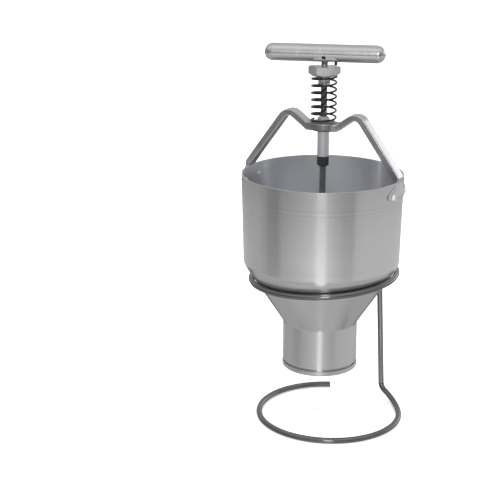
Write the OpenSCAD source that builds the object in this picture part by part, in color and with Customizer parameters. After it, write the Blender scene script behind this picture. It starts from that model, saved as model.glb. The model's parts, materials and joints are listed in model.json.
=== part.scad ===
// Hand-pushed batter depositor: a spun funnel hangs in a bent-rod stand, and a spring-return
// plunger, guided by a yoke over the funnel, meters batter through a die and cuts it off below.
// Millimetres. +Z is up, the origin is on the table under the funnel's axis, +X runs along the yoke.

/* [Stand] */
// Diameter of the stand's rod
rod_d = 7.5; // [6:0.1:9]
// Radius of the base ring at the middle of the rod
base_ring_r = 92.4; // [86:0.1:105]
// Distance from the hopper's axis to the base ring's centre
base_offset = 13.6; // [0:0.1:16]
// Direction of that offset, in degrees from the yoke
base_offset_dir = 22.4; // [0:0.1:45]
// Angle of the base ring's free end, in degrees about its centre
base_free_end = 112; // [100:1:140]
// Angle at which the base ring starts to climb to the post
climb_start = 24; // [15:0.5:32]
// Tilt of the climbing stretch, in degrees
climb_tilt = 28.5; // [15:0.5:40]
// Turn of the climbing stretch, in degrees
climb_turn = 37; // [30:0.5:42]
// Distance from each of the post's corners to the start of its bend
corner_lead = 7.2; // [6:0.1:10]
// Radius of the support ring at the middle of the rod
support_ring_r = 93.6; // [90:0.1:95]
// Tilt of the support ring, in degrees
support_ring_tilt = 3.6; // [0:0.1:5]
// Direction in which the support ring rises, in degrees from the yoke
support_ring_rise = 25; // [0:1:60]
// Angle at which the post meets the support ring
support_ring_start = 57.5; // [50:0.5:65]
// Turn of the support ring from the post to its free end
support_ring_turn = 328; // [300:1:335]

/* [Hopper] */
// Height of the nozzle's lower face over the table
nozzle_lift = 72; // [66:0.5:90]
// Outer radius of the hopper at its rim
rim_r = 102.6; // [101:0.1:108]
// Outer radius of the hopper at its shoulder
shoulder_r = 99.9; // [98:0.1:101]
// Outer radius of the nozzle skirt
skirt_r = 48.2; // [46:0.1:52]
// Wall thickness of the spun hopper
hopper_wall = 2; // [1.5:0.1:3]
// Height of the nozzle skirt
skirt_h = 54; // [50:0.5:60]
// Height of the cone
cone_h = 79.1; // [74:0.1:84]
// Height of the upper wall
wall_h = 116.5; // [105:0.5:130]
// Fillet between the cone and the upper wall
shoulder_fillet = 16; // [8:0.5:20]
// Fillet between the skirt and the cone
neck_fillet = 5; // [3:0.5:10]

/* [Die] */
// Diameter of the metering bore
die_bore_d = 45; // [38:0.5:50]
// How far the die's flange stands out past the skirt
die_flange_lip = 0.5; // [0.3:0.1:1.5]
// Thickness of the die's flange
die_flange_h = 6.5; // [5:0.5:9]
// Rounding of the flange's lower edge
die_flange_round = 2.5; // [1:0.5:3]
// Height of the groove that shows between the flange and the skirt
die_groove = 1.5; // [1:0.1:3]
// Length of the metering bore
die_bore_h = 33; // [28:0.5:36]
// Wall of the die round its bore and entry cone
die_wall = 5; // [3:0.5:7]
// Height of the die's sealing land above the flange
die_land_h = 13.5; // [12:0.5:16]
// Width of the lip at the top of the entry cone
die_lip = 0.7; // [0.5:0.1:1.5]
// Cord diameter of the seal rings
seal_d = 2.3; // [1.6:0.1:3]

/* [Yoke] */
// Height of the boss over the rim
yoke_rise = 66.4; // [60:0.2:75]
// Diameter of the boss
boss_d = 33; // [32:0.5:36]
// Height of the boss
boss_h = 11; // [9:0.5:14]
// Height of an arm's section
arm_h = 9.6; // [8:0.1:11]
// Width of an arm's section
arm_w = 15.6; // [12:0.1:16]
// Corner radius of an arm's section
arm_round = 2.8; // [2:0.1:3.8]
// Distance of an arm's peak corner from the axis
peak_out = 50; // [46:0.5:54]
// Height of the peak corner over the boss
peak_up = 9.3; // [7:0.1:12]
// Radius of the peak's bend at the middle of the arm
peak_bend = 16; // [12:0.5:18]
// Drop of an arm's root below the boss's top
root_drop = 10.4; // [9:0.1:12]
// Height over the rim at which an arm turns into its ear
foot_up = 20.4; // [18:0.2:24]
// Distance inside the rim at which an arm turns into its ear
foot_in = 12.6; // [11:0.2:15]
// Thickness of an ear
ear_t = 2.6; // [2:0.1:4]
// Half width of an ear at its rivets
ear_half_w = 27.5; // [25:0.5:32]
// Half width of an ear's neck at the rim
neck_half_w = 8.4; // [8.2:0.1:10]
// Drop of an ear's lowest point below the rim
ear_drop = 24; // [22:0.5:27]
// Radius of an ear's side tips
ear_tip_r = 4; // [3:0.5:5]
// Drop of the ear's side tips below the rim
ear_tip_drop = 15; // [13:0.5:17]

/* [Rivets] */
// Angle from an arm to each of its two rivets
rivet_angle = 10.8; // [9:0.1:11.5]
// Drop of the rivets below the rim
rivet_drop = 15.6; // [13:0.2:18]
// Diameter of a rivet's shank
rivet_d = 4; // [3:0.2:5]
// Diameter of a rivet's domed head
rivet_head_d = 7.2; // [6:0.2:8]
// Height of a rivet's domed head
rivet_head_h = 1.7; // [1:0.1:2.5]
// Height of a rivet's peened tail
rivet_tail_h = 1; // [0.6:0.1:1.6]

/* [Guide sleeve] */
// Outer diameter of the guide sleeve
sleeve_d = 15; // [13:0.5:17]
// How far the sleeve stands up over the boss
sleeve_up = 6.3; // [4:0.1:8]
// How far the sleeve reaches below the boss's top
sleeve_down = 57.2; // [45:0.2:60]
// Chamfer of the sleeve's ends
sleeve_chamfer = 2; // [1:0.1:3]
// Length of the bush at the sleeve's lower end
bush_h = 13; // [8:0.5:16]
// Length of the bush's spigot inside the sleeve
bush_spigot = 6; // [4:0.5:8]
// Wall of the bush's spigot
bush_wall = 1.6; // [1.2:0.1:2]
// Angle of the sleeve's set screw, in degrees from the yoke
sleeve_screw_dir = -39; // [-60:1:-25]
// Diameter of the sleeve's set screw
sleeve_screw_d = 4; // [3:0.5:5]

/* [Spring] */
// Diameter of the spring's wire
wire_d = 2; // [1.6:0.1:2.4]
// Radius of the spring at the middle of its wire
spring_r = 15.2; // [14:0.1:16]
// Height of the space that the spring stands in
spring_space = 57.9; // [50:0.1:64]
// Number of curls
spring_turns = 6.6; // [5:0.1:7]
// Part of a curl over which each end levels out
spring_ease = 0.35; // [0.2:0.05:0.5]
// Angle at which the lower end starts
spring_start = 175; // [0:5:355]

/* [Dial] */
// Thickness of the thrust washer under the dial
washer_t = 1; // [0.8:0.1:2]
// Diameter of the portion dial across its corners
dial_d = 40; // [36:0.5:44]
// Height of the dial
dial_h = 11.4; // [10:0.1:14]
// Drop from each of the dial's steps to the next
dial_step = 0.7; // [0.5:0.1:1.2]
// Chamfer of the dial's corners
dial_chamfer = 1.2; // [0.5:0.1:2]
// Angle of the dial's highest facet
dial_dir = -126; // [-180:1:180]
// Diameter of the dial's hub
hub_d = 15; // [13:0.5:17]
// Length of the hub below the dial
hub_h = 12; // [10:0.1:14]

/* [Handle] */
// Diameter of the handle bar
handle_d = 22; // [20:0.5:26]
// Length of the handle bar
handle_l = 150; // [120:1:180]
// Length of the bar's domed ends
handle_dome = 8; // [5:0.5:10]
// Direction of the bar, in degrees from the yoke
handle_dir = 16; // [8:1:20]
// Gap between the dial's top and the bar
handle_gap = 4; // [3:0.1:8]
// Diameter of the index pin
pin_d = 3.6; // [2:0.1:4]
// Distance of the index pin from the rod's axis
pin_out = 14; // [11:0.5:15]
// Depth of the index pin in the bar
pin_depth = 7; // [5:0.5:9]
// Diameter of the handle's set screw
handle_screw_d = 5; // [4:0.5:6]
// Slope of the handle's set screw, in degrees below level
handle_screw_slope = 25; // [0:1:35]
// How deep each set screw sits below its surface
screw_sink = 1.5; // [1:0.1:2.5]

/* [Plunger] */
// Diameter of the plunger's rod
plunger_d = 8; // [7:0.5:10]
// How far the rod goes past the middle of the bar
plunger_past = 4; // [2:0.5:6]
// Height of the metering piston
piston_h = 10; // [8:0.5:12]
// Gap between the top of the metering bore and the piston at rest
piston_gap = 11; // [8:0.5:13]
// Height of the cutter disc in the die's mouth
disc_h = 6; // [4:0.5:8]
// How far the cutter disc's lip reaches out past the bore
disc_lip = 3; // [2:0.5:5]
// Thickness of the cutter disc's lip
disc_lip_h = 2.4; // [1.5:0.1:4]
// Wall of the spacer tube
spacer_wall = 2; // [1.5:0.1:3]
// Thickness of the end washer
end_washer_t = 1.5; // [1:0.1:2]
// Width of the end nut across its corners
nut_d = 15; // [14:0.5:18]
// Height of the end nut's hexagon
nut_h = 7; // [6:0.5:9]
// Height of the end nut's dome
nut_dome = 5; // [4:0.5:6]
// Thickness of the piston's clip
clip_t = 1; // [0.8:0.1:1.5]
// Depth of the clip's groove in the rod
clip_depth = 0.6; // [0.4:0.1:0.9]

/* [Fits] */
// Radial clearance of pieces that slide or turn on each other
running = 0.05; // [0.03:0.01:0.08]
// Radial clearance of pieces that are fixed to each other
fixed_fit = 0.02; // [0.01:0.01:0.04]
// Gap between seated pieces of different bodies
seat_gap = 0.25; // [0.2:0.05:0.4]
// Gap between a curved wall and what is riveted to it
wall_gap = 0.15; // [0.1:0.05:0.2]
// Gap between thrust faces
thrust_gap = 0.1; // [0.05:0.05:0.2]

/* [Hidden] */
$fn = 96;

// Segments of each rounded corner of an outline
ARC = 12;
// Rings in a curl of the spring, and sides of its wire
CURL_RINGS = 16;
WIRE_SIDES = 8;
// Allowance by which a cutter passes through what it cuts
PAST = 1;
// Sides of the stand's rod, and of the curves of the yoke
ROD_SIDES = 40;
YOKE_SIDES = 60;
// Swell of a bent piece at each joint between its stretches, so that they unite
JOINT = 0.05;
// Turn of a joint's sphere about the rod
JOINT_SPIN = 60;
// Steps on the dial, one for each of its facets
FACETS = 6;
// Part of a screw's diameter that its hexagon socket takes up
SOCKET = 0.6;

// Heights of the hopper, from the nozzle up
skirt_z = nozzle_lift + die_flange_h + die_groove;
cone_z = skirt_z + skirt_h;
shoulder_z = cone_z + cone_h;
rim_z = shoulder_z + wall_h;
cone_slope = (shoulder_r - skirt_r) / cone_h;
skirt_in = skirt_r - hopper_wall;

// Outer radius of the upper wall at a height
function wall_r(z) = shoulder_r + (rim_r - shoulder_r) * (z - shoulder_z) / wall_h;

// The support ring lies on the cone, a seat gap away: where a tilted plane cuts a cone, the curve is nearly
// a circle whose centre stands off the axis towards the higher side
ring_lean = cone_slope * tan(support_ring_tilt);
ring_axis_r = support_ring_r * cos(support_ring_tilt) * (1 - ring_lean * ring_lean);
ring_axis_z = cone_z + (ring_axis_r - skirt_r - (rod_d / 2 + seat_gap) * norm([1, cone_slope])) / cone_slope;
ring_off = ring_axis_r * ring_lean / (1 - ring_lean * ring_lean);
ring_mid = [ring_off * cos(support_ring_rise), ring_off * sin(support_ring_rise),
            ring_axis_z + ring_off * tan(support_ring_tilt)];

// Heights of the yoke, the spring and the dial
boss_z = rim_z + yoke_rise;
sleeve_z = boss_z + sleeve_up;
washer_z = boss_z + spring_space;
dial_z = washer_z + washer_t + thrust_gap;
hub_z = dial_z - hub_h;
dial_top = dial_z + dial_h;
handle_z = dial_top + handle_gap + handle_d / 2;
// Travel of the plunger, until the hub meets the sleeve
stroke = hub_z - sleeve_z - seat_gap;

// Heights of the plunger's lower end
bore_r = die_bore_d / 2;
bore_top = nozzle_lift + die_bore_h;
piston_r = bore_r - running;
piston_z = bore_top + piston_gap;
disc_top = nozzle_lift + disc_h;
lip_top = nozzle_lift - seat_gap;
lip_z = lip_top - disc_lip_h;
nut_top = lip_z - end_washer_t;
plunger_r = plunger_d / 2;
plunger_z = nut_top - nut_h - nut_dome / 2;
plunger_top = handle_z + plunger_past;

// Vectors and outlines
function unit(v) = v / norm(v);
function turn_left(v) = [-v[1], v[0]];

// Angles that turn +Z to a direction
function aim(d) = [0, acos(d[2] / norm(d)), atan2(d[1], d[0])];

// Angles that turn the axes to three given directions at right angles
function frame_angles(x, y, z) = [atan2(y[2], z[2]), -asin(x[2]), atan2(x[1], x[0])];

// Points of an arc about a centre
function arc(c, r, a0, a1, n = ARC) =
    [for (i = [0:n]) c + r * [cos(a0 + (a1 - a0) * i / n), sin(a0 + (a1 - a0) * i / n)]];

// Points that round the corner b of the path a, b, c
function round_corner(a, b, c, r) =
    let (u = unit(a - b), v = unit(c - b), half = acos(u * v) / 2)
    let (mid = b + unit(u + v) * r / sin(half), first = b + u * r / tan(half) - mid)
    let (side = cross(u, v) > 0 ? -1 : 1, a0 = atan2(first[1], first[0]))
    arc(mid, r, a0, a0 + side * (180 - 2 * half));

// A path with its inner corners rounded, a zero radius leaving a corner sharp
function rounded(path, radii) = [for (i = [0:len(path) - 1])
    each radii[i] == 0 ? [path[i]] : round_corner(path[i - 1], path[i], path[i + 1], radii[i])];

// A path moved sideways by t, to its left
function moved_left(path, t) = let (last = len(path) - 1) [for (i = [0:last])
    let (n0 = turn_left(unit(path[max(i, 1)] - path[max(i, 1) - 1])))
    let (n1 = turn_left(unit(path[min(i, last - 1) + 1] - path[min(i, last - 1)])))
    path[i] + (n0 + n1) * t / (1 + n0 * n1)];

function reversed(path) = [for (i = [len(path) - 1:-1:0]) path[i]];

// A turned piece, given the outline of its half section
module turned(outline) {
    rotate_extrude() polygon(outline);
}

// A ring of round cord
module seal_ring(mid_r, z) {
    translate([0, 0, z]) rotate_extrude() translate([mid_r, 0]) circle(d = seal_d);
}

// A tube between two heights
module tube(r_out, r_in, z0, z1) {
    translate([0, 0, z0]) difference() {
        cylinder(r = r_out, h = z1 - z0);
        translate([0, 0, -PAST]) cylinder(r = r_in, h = z1 - z0 + 2 * PAST);
    }
}

// A set screw along +X, with a hexagon socket in its outer end
module set_screw(d, x0, x1) {
    translate([x0, 0, 0]) rotate([0, 90, 0]) difference() {
        cylinder(d = d - 2 * fixed_fit, h = x1 - x0);
        translate([0, 0, (x1 - x0) / 2]) cylinder(d = d * SOCKET, h = x1 - x0, $fn = 6);
    }
}

// A hole along +X
module cross_hole(d, x0, x1) {
    translate([x0, 0, 0]) rotate([0, 90, 0]) cylinder(d = d, h = x1 - x0);
}

// A hexagon with chamfered ends
module hexagon(d, h, chamfer_low, chamfer_high) {
    flat_r = d / 2 * cos(30);
    rise = d / 2 + PAST - flat_r;
    intersection() {
        cylinder(d = d, h = h, $fn = FACETS);
        turned([[0, 0], [flat_r, 0], [flat_r + rise, chamfer_low * rise],
                [flat_r + rise, h - chamfer_high * rise],
                [flat_r, h], [0, h]]);
    }
}

// The stand's rod along a bend that starts at p, heads along dir and turns towards side
module rod_bend(p, dir, side, r, turn) {
    translate(p + r * side) rotate(frame_angles(-side, dir, cross(-side, dir)))
        rotate_extrude(angle = turn) translate([r, 0]) circle(d = rod_d);
}

// The stand's rod round a corner between two directions
module rod_corner(p, dir_in, dir_out) {
    turn = acos(dir_in * dir_out);
    side = unit(dir_out - (dir_in * dir_out) * dir_in);
    rod_bend(p - corner_lead * dir_in, dir_in, side, corner_lead / tan(turn / 2), turn);
}

// The stand's rod between two points
module rod_run(p, q) {
    translate(p) rotate(aim(q - p)) cylinder(d = rod_d, h = norm(q - p));
}

// Stand: one rod, bent into a base ring, a leaning post and a support ring
module stand_rod() {
    $fn = ROD_SIDES;
    base = [base_offset * cos(base_offset_dir), base_offset * sin(base_offset_dir), rod_d / 2 + JOINT];
    out = [cos(climb_start), sin(climb_start), 0];
    along = [-out[1], out[0], 0];
    up_in = -out * cos(climb_tilt) + [0, 0, sin(climb_tilt)];
    climb = base + base_ring_r * out;
    climb_end = climb + base_ring_r * (sin(climb_turn) * along + (1 - cos(climb_turn)) * up_in);
    climb_dir = cos(climb_turn) * along + sin(climb_turn) * up_in;
    steep = [cos(support_ring_tilt) * cos(support_ring_rise),
             cos(support_ring_tilt) * sin(support_ring_rise),
             sin(support_ring_tilt)];
    level = [-sin(support_ring_rise), cos(support_ring_rise), 0];
    ring_turn = support_ring_start - support_ring_rise;
    ring_out = cos(ring_turn) * steep + sin(ring_turn) * level;
    ring_dir = sin(ring_turn) * steep - cos(ring_turn) * level;
    ring_start = ring_mid + support_ring_r * ring_out;
    low = climb_end + corner_lead * climb_dir;
    high = ring_start - corner_lead * ring_dir;
    post_dir = unit(high - low);
    joints = [[climb, along], [climb_end, climb_dir], [low + corner_lead * post_dir, post_dir],
              [high - corner_lead * post_dir, post_dir], [ring_start, ring_dir]];
    color("dimgray") {
        for (j = joints)
            translate(j[0]) rotate(aim(j[1])) rotate([0, 0, JOINT_SPIN]) sphere(d = rod_d + 2 * JOINT);
        translate(base) rotate([0, 0, base_free_end])
            rotate_extrude(angle = climb_start + 360 - base_free_end)
                translate([base_ring_r, 0]) circle(d = rod_d);
        rod_bend(climb, along, up_in, base_ring_r, climb_turn);
        rod_corner(low, climb_dir, post_dir);
        rod_run(low + corner_lead * post_dir, high - corner_lead * post_dir);
        rod_corner(high, post_dir, ring_dir);
        rod_bend(ring_start, ring_dir, -ring_out, support_ring_r, support_ring_turn);
    }
}

// Places its child at each rivet, with +X pointing out of the hopper
rivet_z = rim_z - rivet_drop;
module at_rivets() {
    for (arm = [0, 180], a = [-rivet_angle, rivet_angle])
        rotate([0, 0, arm + a]) translate([0, 0, rivet_z]) children();
}

// Rivet holes, from inside the wall out past an ear
module rivet_holes() {
    at_rivets()
        cross_hole(rivet_d + 2 * fixed_fit, wall_r(rivet_z) - 2 * hopper_wall, wall_r(rivet_z) + 2 * ear_t);
}

// Hopper: a spun funnel with a straight skirt, a cone and a slightly flared wall
module hopper() {
    outside = [[skirt_r, skirt_z], [skirt_r, cone_z], [shoulder_r, shoulder_z], [rim_r, rim_z]];
    inside = moved_left(outside, hopper_wall);
    wall = concat(rounded(outside, [0, neck_fillet, shoulder_fillet, 0]),
                  reversed(rounded(inside,
                           [0, neck_fillet + hopper_wall, shoulder_fillet - hopper_wall, 0])));
    color("silver") difference() {
        turned(wall);
        rivet_holes();
    }
}

// Die: a turned insert with the metering bore, its entry cone and the flange below the skirt
land_r = skirt_in - running;
seal_z = nozzle_lift + die_flange_h + die_groove + (die_land_h - die_groove) / 2;
module nozzle_die() {
    flange_r = skirt_r + die_flange_lip;
    flange_top = nozzle_lift + die_flange_h;
    land_top = flange_top + die_land_h;
    entry_r = land_r - die_lip;
    top = bore_top + entry_r - bore_r;
    tube_r = bore_r + die_wall;
    shell_drop = die_wall * sqrt(2);
    seal_in = land_r - seal_d - fixed_fit;
    body = [[bore_r, nozzle_lift], [flange_r, nozzle_lift], [flange_r, flange_top], [land_r, flange_top],
            [land_r, seal_z - seal_d / 2 - fixed_fit], [seal_in, seal_z - seal_d / 2 - fixed_fit],
            [seal_in, seal_z + seal_d / 2 + fixed_fit], [land_r, seal_z + seal_d / 2 + fixed_fit],
            [land_r, land_top], [tube_r, land_top], [tube_r, bore_top + die_wall - shell_drop],
            [land_r, bore_top + land_r - bore_r - shell_drop], [land_r, top],
            [entry_r, top], [bore_r, bore_top]];
    color("lightgray")
        turned(rounded(body, [0, die_flange_round, 0, 0, 0, 0, 0, 0, 0, 0, 0, 0, 0, 0, 0]));
}

// Seal ring between the die and the skirt
module die_o_ring() {
    color("black") seal_ring(land_r - seal_d / 2, seal_z);
}

// Line of an arm, in the yoke's plane: its root, its peak corner and its foot
arm_root = [sleeve_d / 2, boss_z - root_drop];
arm_peak = [peak_out, boss_z + peak_up];
arm_foot = [rim_r - foot_in, rim_z + foot_up];
ear_in_r = wall_r(rim_z) + wall_gap;

// How far an arm goes into its ear, and the ear's margin round it there
EAR_OVER = 0.5;
EAR_PROUD = 0.15;

// Section of an arm, swollen by a little
module arm_section(swell = 0) {
    mid = [arm_h / 2 - arm_round, arm_w / 2 - arm_round];
    polygon([for (q = [[1, 1], [-1, 1], [-1, -1], [1, -1]])
        let (a = atan2(q[1], q[0]))
        each arc([q[0] * mid[0], q[1] * mid[1]], arm_round + swell, a - 45, a + 45, ARC / 2)]);
}

// Straight stretch of an arm between two points of the yoke's plane
module arm_run(p, q, swell = 0) {
    d = q - p;
    translate([p[0], 0, p[1]]) rotate([0, 90 - atan2(d[1], d[0]), 0])
        linear_extrude(norm(d)) arm_section(swell);
}

// Arm: it rises from the boss, bends over its peak and comes down to its ear
module yoke_arm() {
    rise = unit(arm_peak - arm_root);
    fall = unit(arm_foot - arm_peak);
    turn = acos(rise * fall);
    lead = peak_bend * tan(turn / 2);
    mid = arm_peak - lead * rise + peak_bend * [rise[1], -rise[0]];
    arm_run(arm_root, arm_peak - lead * rise);
    arm_run(arm_peak - (lead + JOINT) * rise, arm_peak - (lead - JOINT) * rise, JOINT);
    translate([mid[0], 0, mid[1]]) rotate([90, 0, 0]) rotate([0, 0, 90 + atan2(fall[1], fall[0])])
        rotate_extrude(angle = turn) translate([peak_bend, 0]) arm_section();
    arm_run(arm_peak + (lead - JOINT) * fall, arm_peak + (lead + JOINT) * fall, JOINT);
    arm_run(arm_peak + lead * fall, arm_foot + EAR_OVER * fall);
}

// Ear: the arm's end thins down to a plate on the hopper's wall and spreads into a fishtail
module yoke_ear() {
    fall = unit(arm_foot - arm_peak);
    edge = turn_left(fall) * (arm_h / 2 + EAR_PROUD);
    low_z = rim_z - ear_drop - PAST;
    out_r = ear_in_r + ear_t;
    knee = arm_foot + edge + fall * (out_r - arm_foot[0] - edge[0]) / fall[0];
    low_r = wall_r(low_z) + wall_gap;
    inner = arm_foot - edge;
    heel = inner + fall * (rim_z + seat_gap - inner[1]) / fall[1];
    section = [[low_r, low_z], [low_r + ear_t, low_z], knee, arm_foot + edge,
               inner, heel, [ear_in_r, heel[1]]];
    tip = [ear_half_w - ear_tip_r, rim_z - ear_tip_drop];
    flare = atan2(rim_z + seat_gap - tip[1], neck_half_w - tip[0]) - 90;
    belly_h = tip[1] - ear_tip_r - rim_z + ear_drop;
    belly_r = (tip[0] * tip[0] + belly_h * belly_h) / (2 * belly_h);
    belly = [0, rim_z - ear_drop + belly_r];
    belly_half = asin(tip[0] / belly_r);
    side = concat([[arm_w / 2 + EAR_PROUD, arm_foot[1] + arm_h], [neck_half_w, rim_z + seat_gap]],
                  arc(tip, ear_tip_r, flare, -90 + belly_half), arc(belly, belly_r, -90 + belly_half, -90));
    outline = concat(side, [for (i = [len(side) - 2:-1:0]) [-side[i][0], side[i][1]]]);
    intersection() {
        turned(section);
        translate([arm_foot[0] - arm_h, 0, 0]) rotate([90, 0, 90]) linear_extrude(rim_r) polygon(outline);
    }
}

// Yoke: one casting with a boss, two arms and two ears
module yoke() {
    $fn = YOKE_SIDES;
    color("gainsboro") difference() {
        union() {
            translate([0, 0, boss_z - boss_h]) cylinder(d = boss_d, h = boss_h);
            for (arm = [0, 180]) rotate([0, 0, arm]) {
                difference() {
                    yoke_arm();
                    translate([0, 0, boss_z - seat_gap])
                        cylinder(r = spring_r + wire_d / 2 + seat_gap, h = arm_h);
                }
                yoke_ear();
            }
        }
        translate([0, 0, boss_z - boss_h - arm_h])
            cylinder(r = sleeve_d / 2 + fixed_fit, h = boss_h + 2 * arm_h);
        translate([0, 0, boss_z - boss_h / 2]) rotate([0, 0, sleeve_screw_dir])
            cross_hole(sleeve_screw_d, 0, boss_d / 2 + PAST);
        rivet_holes();
    }
}

// Rivets: a domed head on the ear and a peened tail inside the hopper
module yoke_rivets() {
    head_x = wall_r(rivet_z) + 2 * wall_gap + ear_t;
    tail_x = wall_r(rivet_z) - hopper_wall - 2 * wall_gap;
    head_r = rivet_head_d / 2;
    dome_r = (head_r * head_r + rivet_head_h * rivet_head_h) / (2 * rivet_head_h);
    dome = asin(head_r / dome_r);
    outline = concat([[0, tail_x - rivet_tail_h], [rivet_d * 0.7, tail_x - rivet_tail_h],
                     [rivet_d * 0.75, tail_x],
                      [rivet_d / 2, tail_x], [rivet_d / 2, head_x]],
                     arc([0, head_x + rivet_head_h - dome_r], dome_r, 90 - dome, 90));
    color("lightgray") at_rivets() rotate([0, 90, 0]) turned(outline);
}

// Guide sleeve, coned at the top and counterbored below for its bush
sleeve_low = boss_z - sleeve_down + bush_h;
guide_r = plunger_r + running;
module guide_sleeve() {
    r = sleeve_d / 2;
    seat_r = guide_r + bush_wall + fixed_fit;
    seat_z = sleeve_low + bush_spigot + fixed_fit;
    color("silver") turned([[seat_r, sleeve_low], [r, sleeve_low], [r, sleeve_z - sleeve_chamfer],
                            [r - sleeve_chamfer, sleeve_z], [guide_r, sleeve_z],
                            [guide_r, seat_z], [seat_r, seat_z]]);
}

// Bush that guides the rod at the sleeve's lower end
module guide_bush() {
    r = sleeve_d / 2;
    low = boss_z - sleeve_down;
    top = sleeve_low - fixed_fit;
    color("gainsboro") turned([[guide_r, low], [r - sleeve_chamfer, low],
                              [r, low + sleeve_chamfer], [r, top],
                               [guide_r + bush_wall, top], [guide_r + bush_wall, top + bush_spigot],
                               [guide_r, top + bush_spigot]]);
}

// Set screw that holds the sleeve in the boss
module sleeve_screw() {
    color("dimgray") translate([0, 0, boss_z - boss_h / 2]) rotate([0, 0, sleeve_screw_dir])
        set_screw(sleeve_screw_d, sleeve_d / 2 + fixed_fit, boss_d / 2 - screw_sink);
}

// Path of the spring's wire: a helix that levels out at both ends, with a straight stretch there
spring_low = boss_z + wall_gap + wire_d / 2;
spring_high = washer_z - seat_gap - wire_d / 2;
// Curls risen after t curls
function risen(t) = t < spring_ease ? t * t / (2 * spring_ease)
    : t > spring_turns - spring_ease ?
      spring_turns - spring_ease - pow(spring_turns - t, 2) / (2 * spring_ease)
    : t - spring_ease / 2;
curl_pitch = (spring_high - spring_low) / (spring_turns - spring_ease);
curl_steps = ceil(spring_turns * CURL_RINGS);
function curl_angle(i) = spring_start + 360 * spring_turns * i / curl_steps;
function curl_point(i) = [spring_r * cos(curl_angle(i)), spring_r * sin(curl_angle(i)),
                          spring_low + curl_pitch * risen(spring_turns * i / curl_steps)];
function curl_tangent(a) = [-sin(a), cos(a), 0];
curl = [for (i = [0:curl_steps]) curl_point(i)];
wire = concat([[curl[0] - wire_d * curl_tangent(curl_angle(0)), curl_angle(0)]],
              [for (i = [0:curl_steps]) [curl[i], curl_angle(i)]],
              [[curl[curl_steps] + wire_d * curl_tangent(curl_angle(curl_steps)), curl_angle(curl_steps)]]);
curl_gap = min([for (i = [0:curl_steps - CURL_RINGS / 2], j = [i + CURL_RINGS / 2:curl_steps])
    norm(curl[i] - curl[j])]) - wire_d;
echo(least_gap_between_curls = curl_gap);

// Return spring: one unbroken wire
module return_spring() {
    last = len(wire) - 1;
    points = [for (k = [0:last])
        let (a = wire[k][1], ahead = wire[min(k + 1, last)][0] - wire[max(k - 1, 0)][0])
        let (out = [cos(a), sin(a), 0], across = unit(cross(unit(ahead), out)))
        for (s = [0:WIRE_SIDES - 1])
            wire[k][0] + wire_d / 2
                * (cos(360 * s / WIRE_SIDES) * out + sin(360 * s / WIRE_SIDES) * across)];
    sides = [for (k = [0:last - 1], s = [0:WIRE_SIDES - 1])
        let (a = k * WIRE_SIDES + s, b = k * WIRE_SIDES + (s + 1) % WIRE_SIDES)
        each [[a, a + WIRE_SIDES, b], [b, a + WIRE_SIDES, b + WIRE_SIDES]]];
    ends = [for (s = [1:WIRE_SIDES - 2])
        each [[0, s, s + 1], [last * WIRE_SIDES, last * WIRE_SIDES + s + 1, last * WIRE_SIDES + s]]];
    color("darkslategray") polyhedron(points, concat(sides, ends));
}

// Thrust washer between the spring and the dial
module spring_washer() {
    color("gray") tube(spring_r + wire_d / 2, hub_d / 2 + running, washer_z, washer_z + washer_t);
}

// Portion dial: a hexagon collar whose top steps down from facet to facet, with a hub below
module portion_dial() {
    far = dial_d;
    color("lightgray") rotate([0, 0, dial_dir]) difference() {
        union() {
            translate([0, 0, dial_z]) rotate([0, 0, 30])
                hexagon(dial_d, dial_h, dial_chamfer / 2, dial_chamfer / 2);
            translate([0, 0, hub_z]) cylinder(d = hub_d, h = hub_h + PAST);
        }
        translate([0, 0, hub_z - PAST]) cylinder(r = plunger_r + running, h = hub_h + dial_h + 2 * PAST);
        for (i = [1:FACETS - 1]) rotate([0, 0, i * 360 / FACETS]) translate([0, 0, dial_top - i * dial_step])
            linear_extrude(dial_h) polygon([[0, 0], far * [cos(30), -sin(30)], far * [cos(30), sin(30)]]);
    }
}

// Places its child at the middle of the handle bar, with +X along the bar
module at_handle() {
    translate([0, 0, handle_z]) rotate([0, 0, handle_dir]) children();
}

// Index pin, from the bar down to the dial's highest step
module index_pin() {
    low = dial_top + seat_gap - handle_z;
    color("gray") at_handle() translate([pin_out, 0, low])
        cylinder(d = pin_d, h = pin_depth - handle_d / 2 - low);
}

// Handle: a turned bar with domed ends, drilled for the rod, the pin and the set screw
module t_handle() {
    r = handle_d / 2;
    dome_r = (r * r + handle_dome * handle_dome) / (2 * handle_dome);
    dome = asin(r / dome_r);
    half = handle_l / 2;
    end = arc([0, half - dome_r], dome_r, 90 - dome, 90);
    color("silver") at_handle() difference() {
        rotate([0, 90, 0]) turned(concat(reversed([for (p = end) [p[0], -p[1]]]), end));
        translate([0, 0, -r - PAST])
            cylinder(r = plunger_r + fixed_fit, h = r + PAST + plunger_past + fixed_fit);
        translate([pin_out, 0, -r - PAST])
            cylinder(d = pin_d + 2 * fixed_fit, h = PAST + pin_depth + fixed_fit);
        rotate([handle_screw_slope, 0, 0]) rotate([0, 0, -90]) cross_hole(handle_screw_d, 0, r + PAST);
    }
}

// Set screw that holds the handle on the rod
module handle_screw() {
    rod_side = plunger_r + wall_gap + handle_screw_d / 2 * sin(handle_screw_slope);
    color("dimgray") at_handle() rotate([handle_screw_slope, 0, 0]) rotate([0, 0, -90])
        set_screw(handle_screw_d, rod_side / cos(handle_screw_slope), handle_d / 2 - screw_sink);
}

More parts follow.
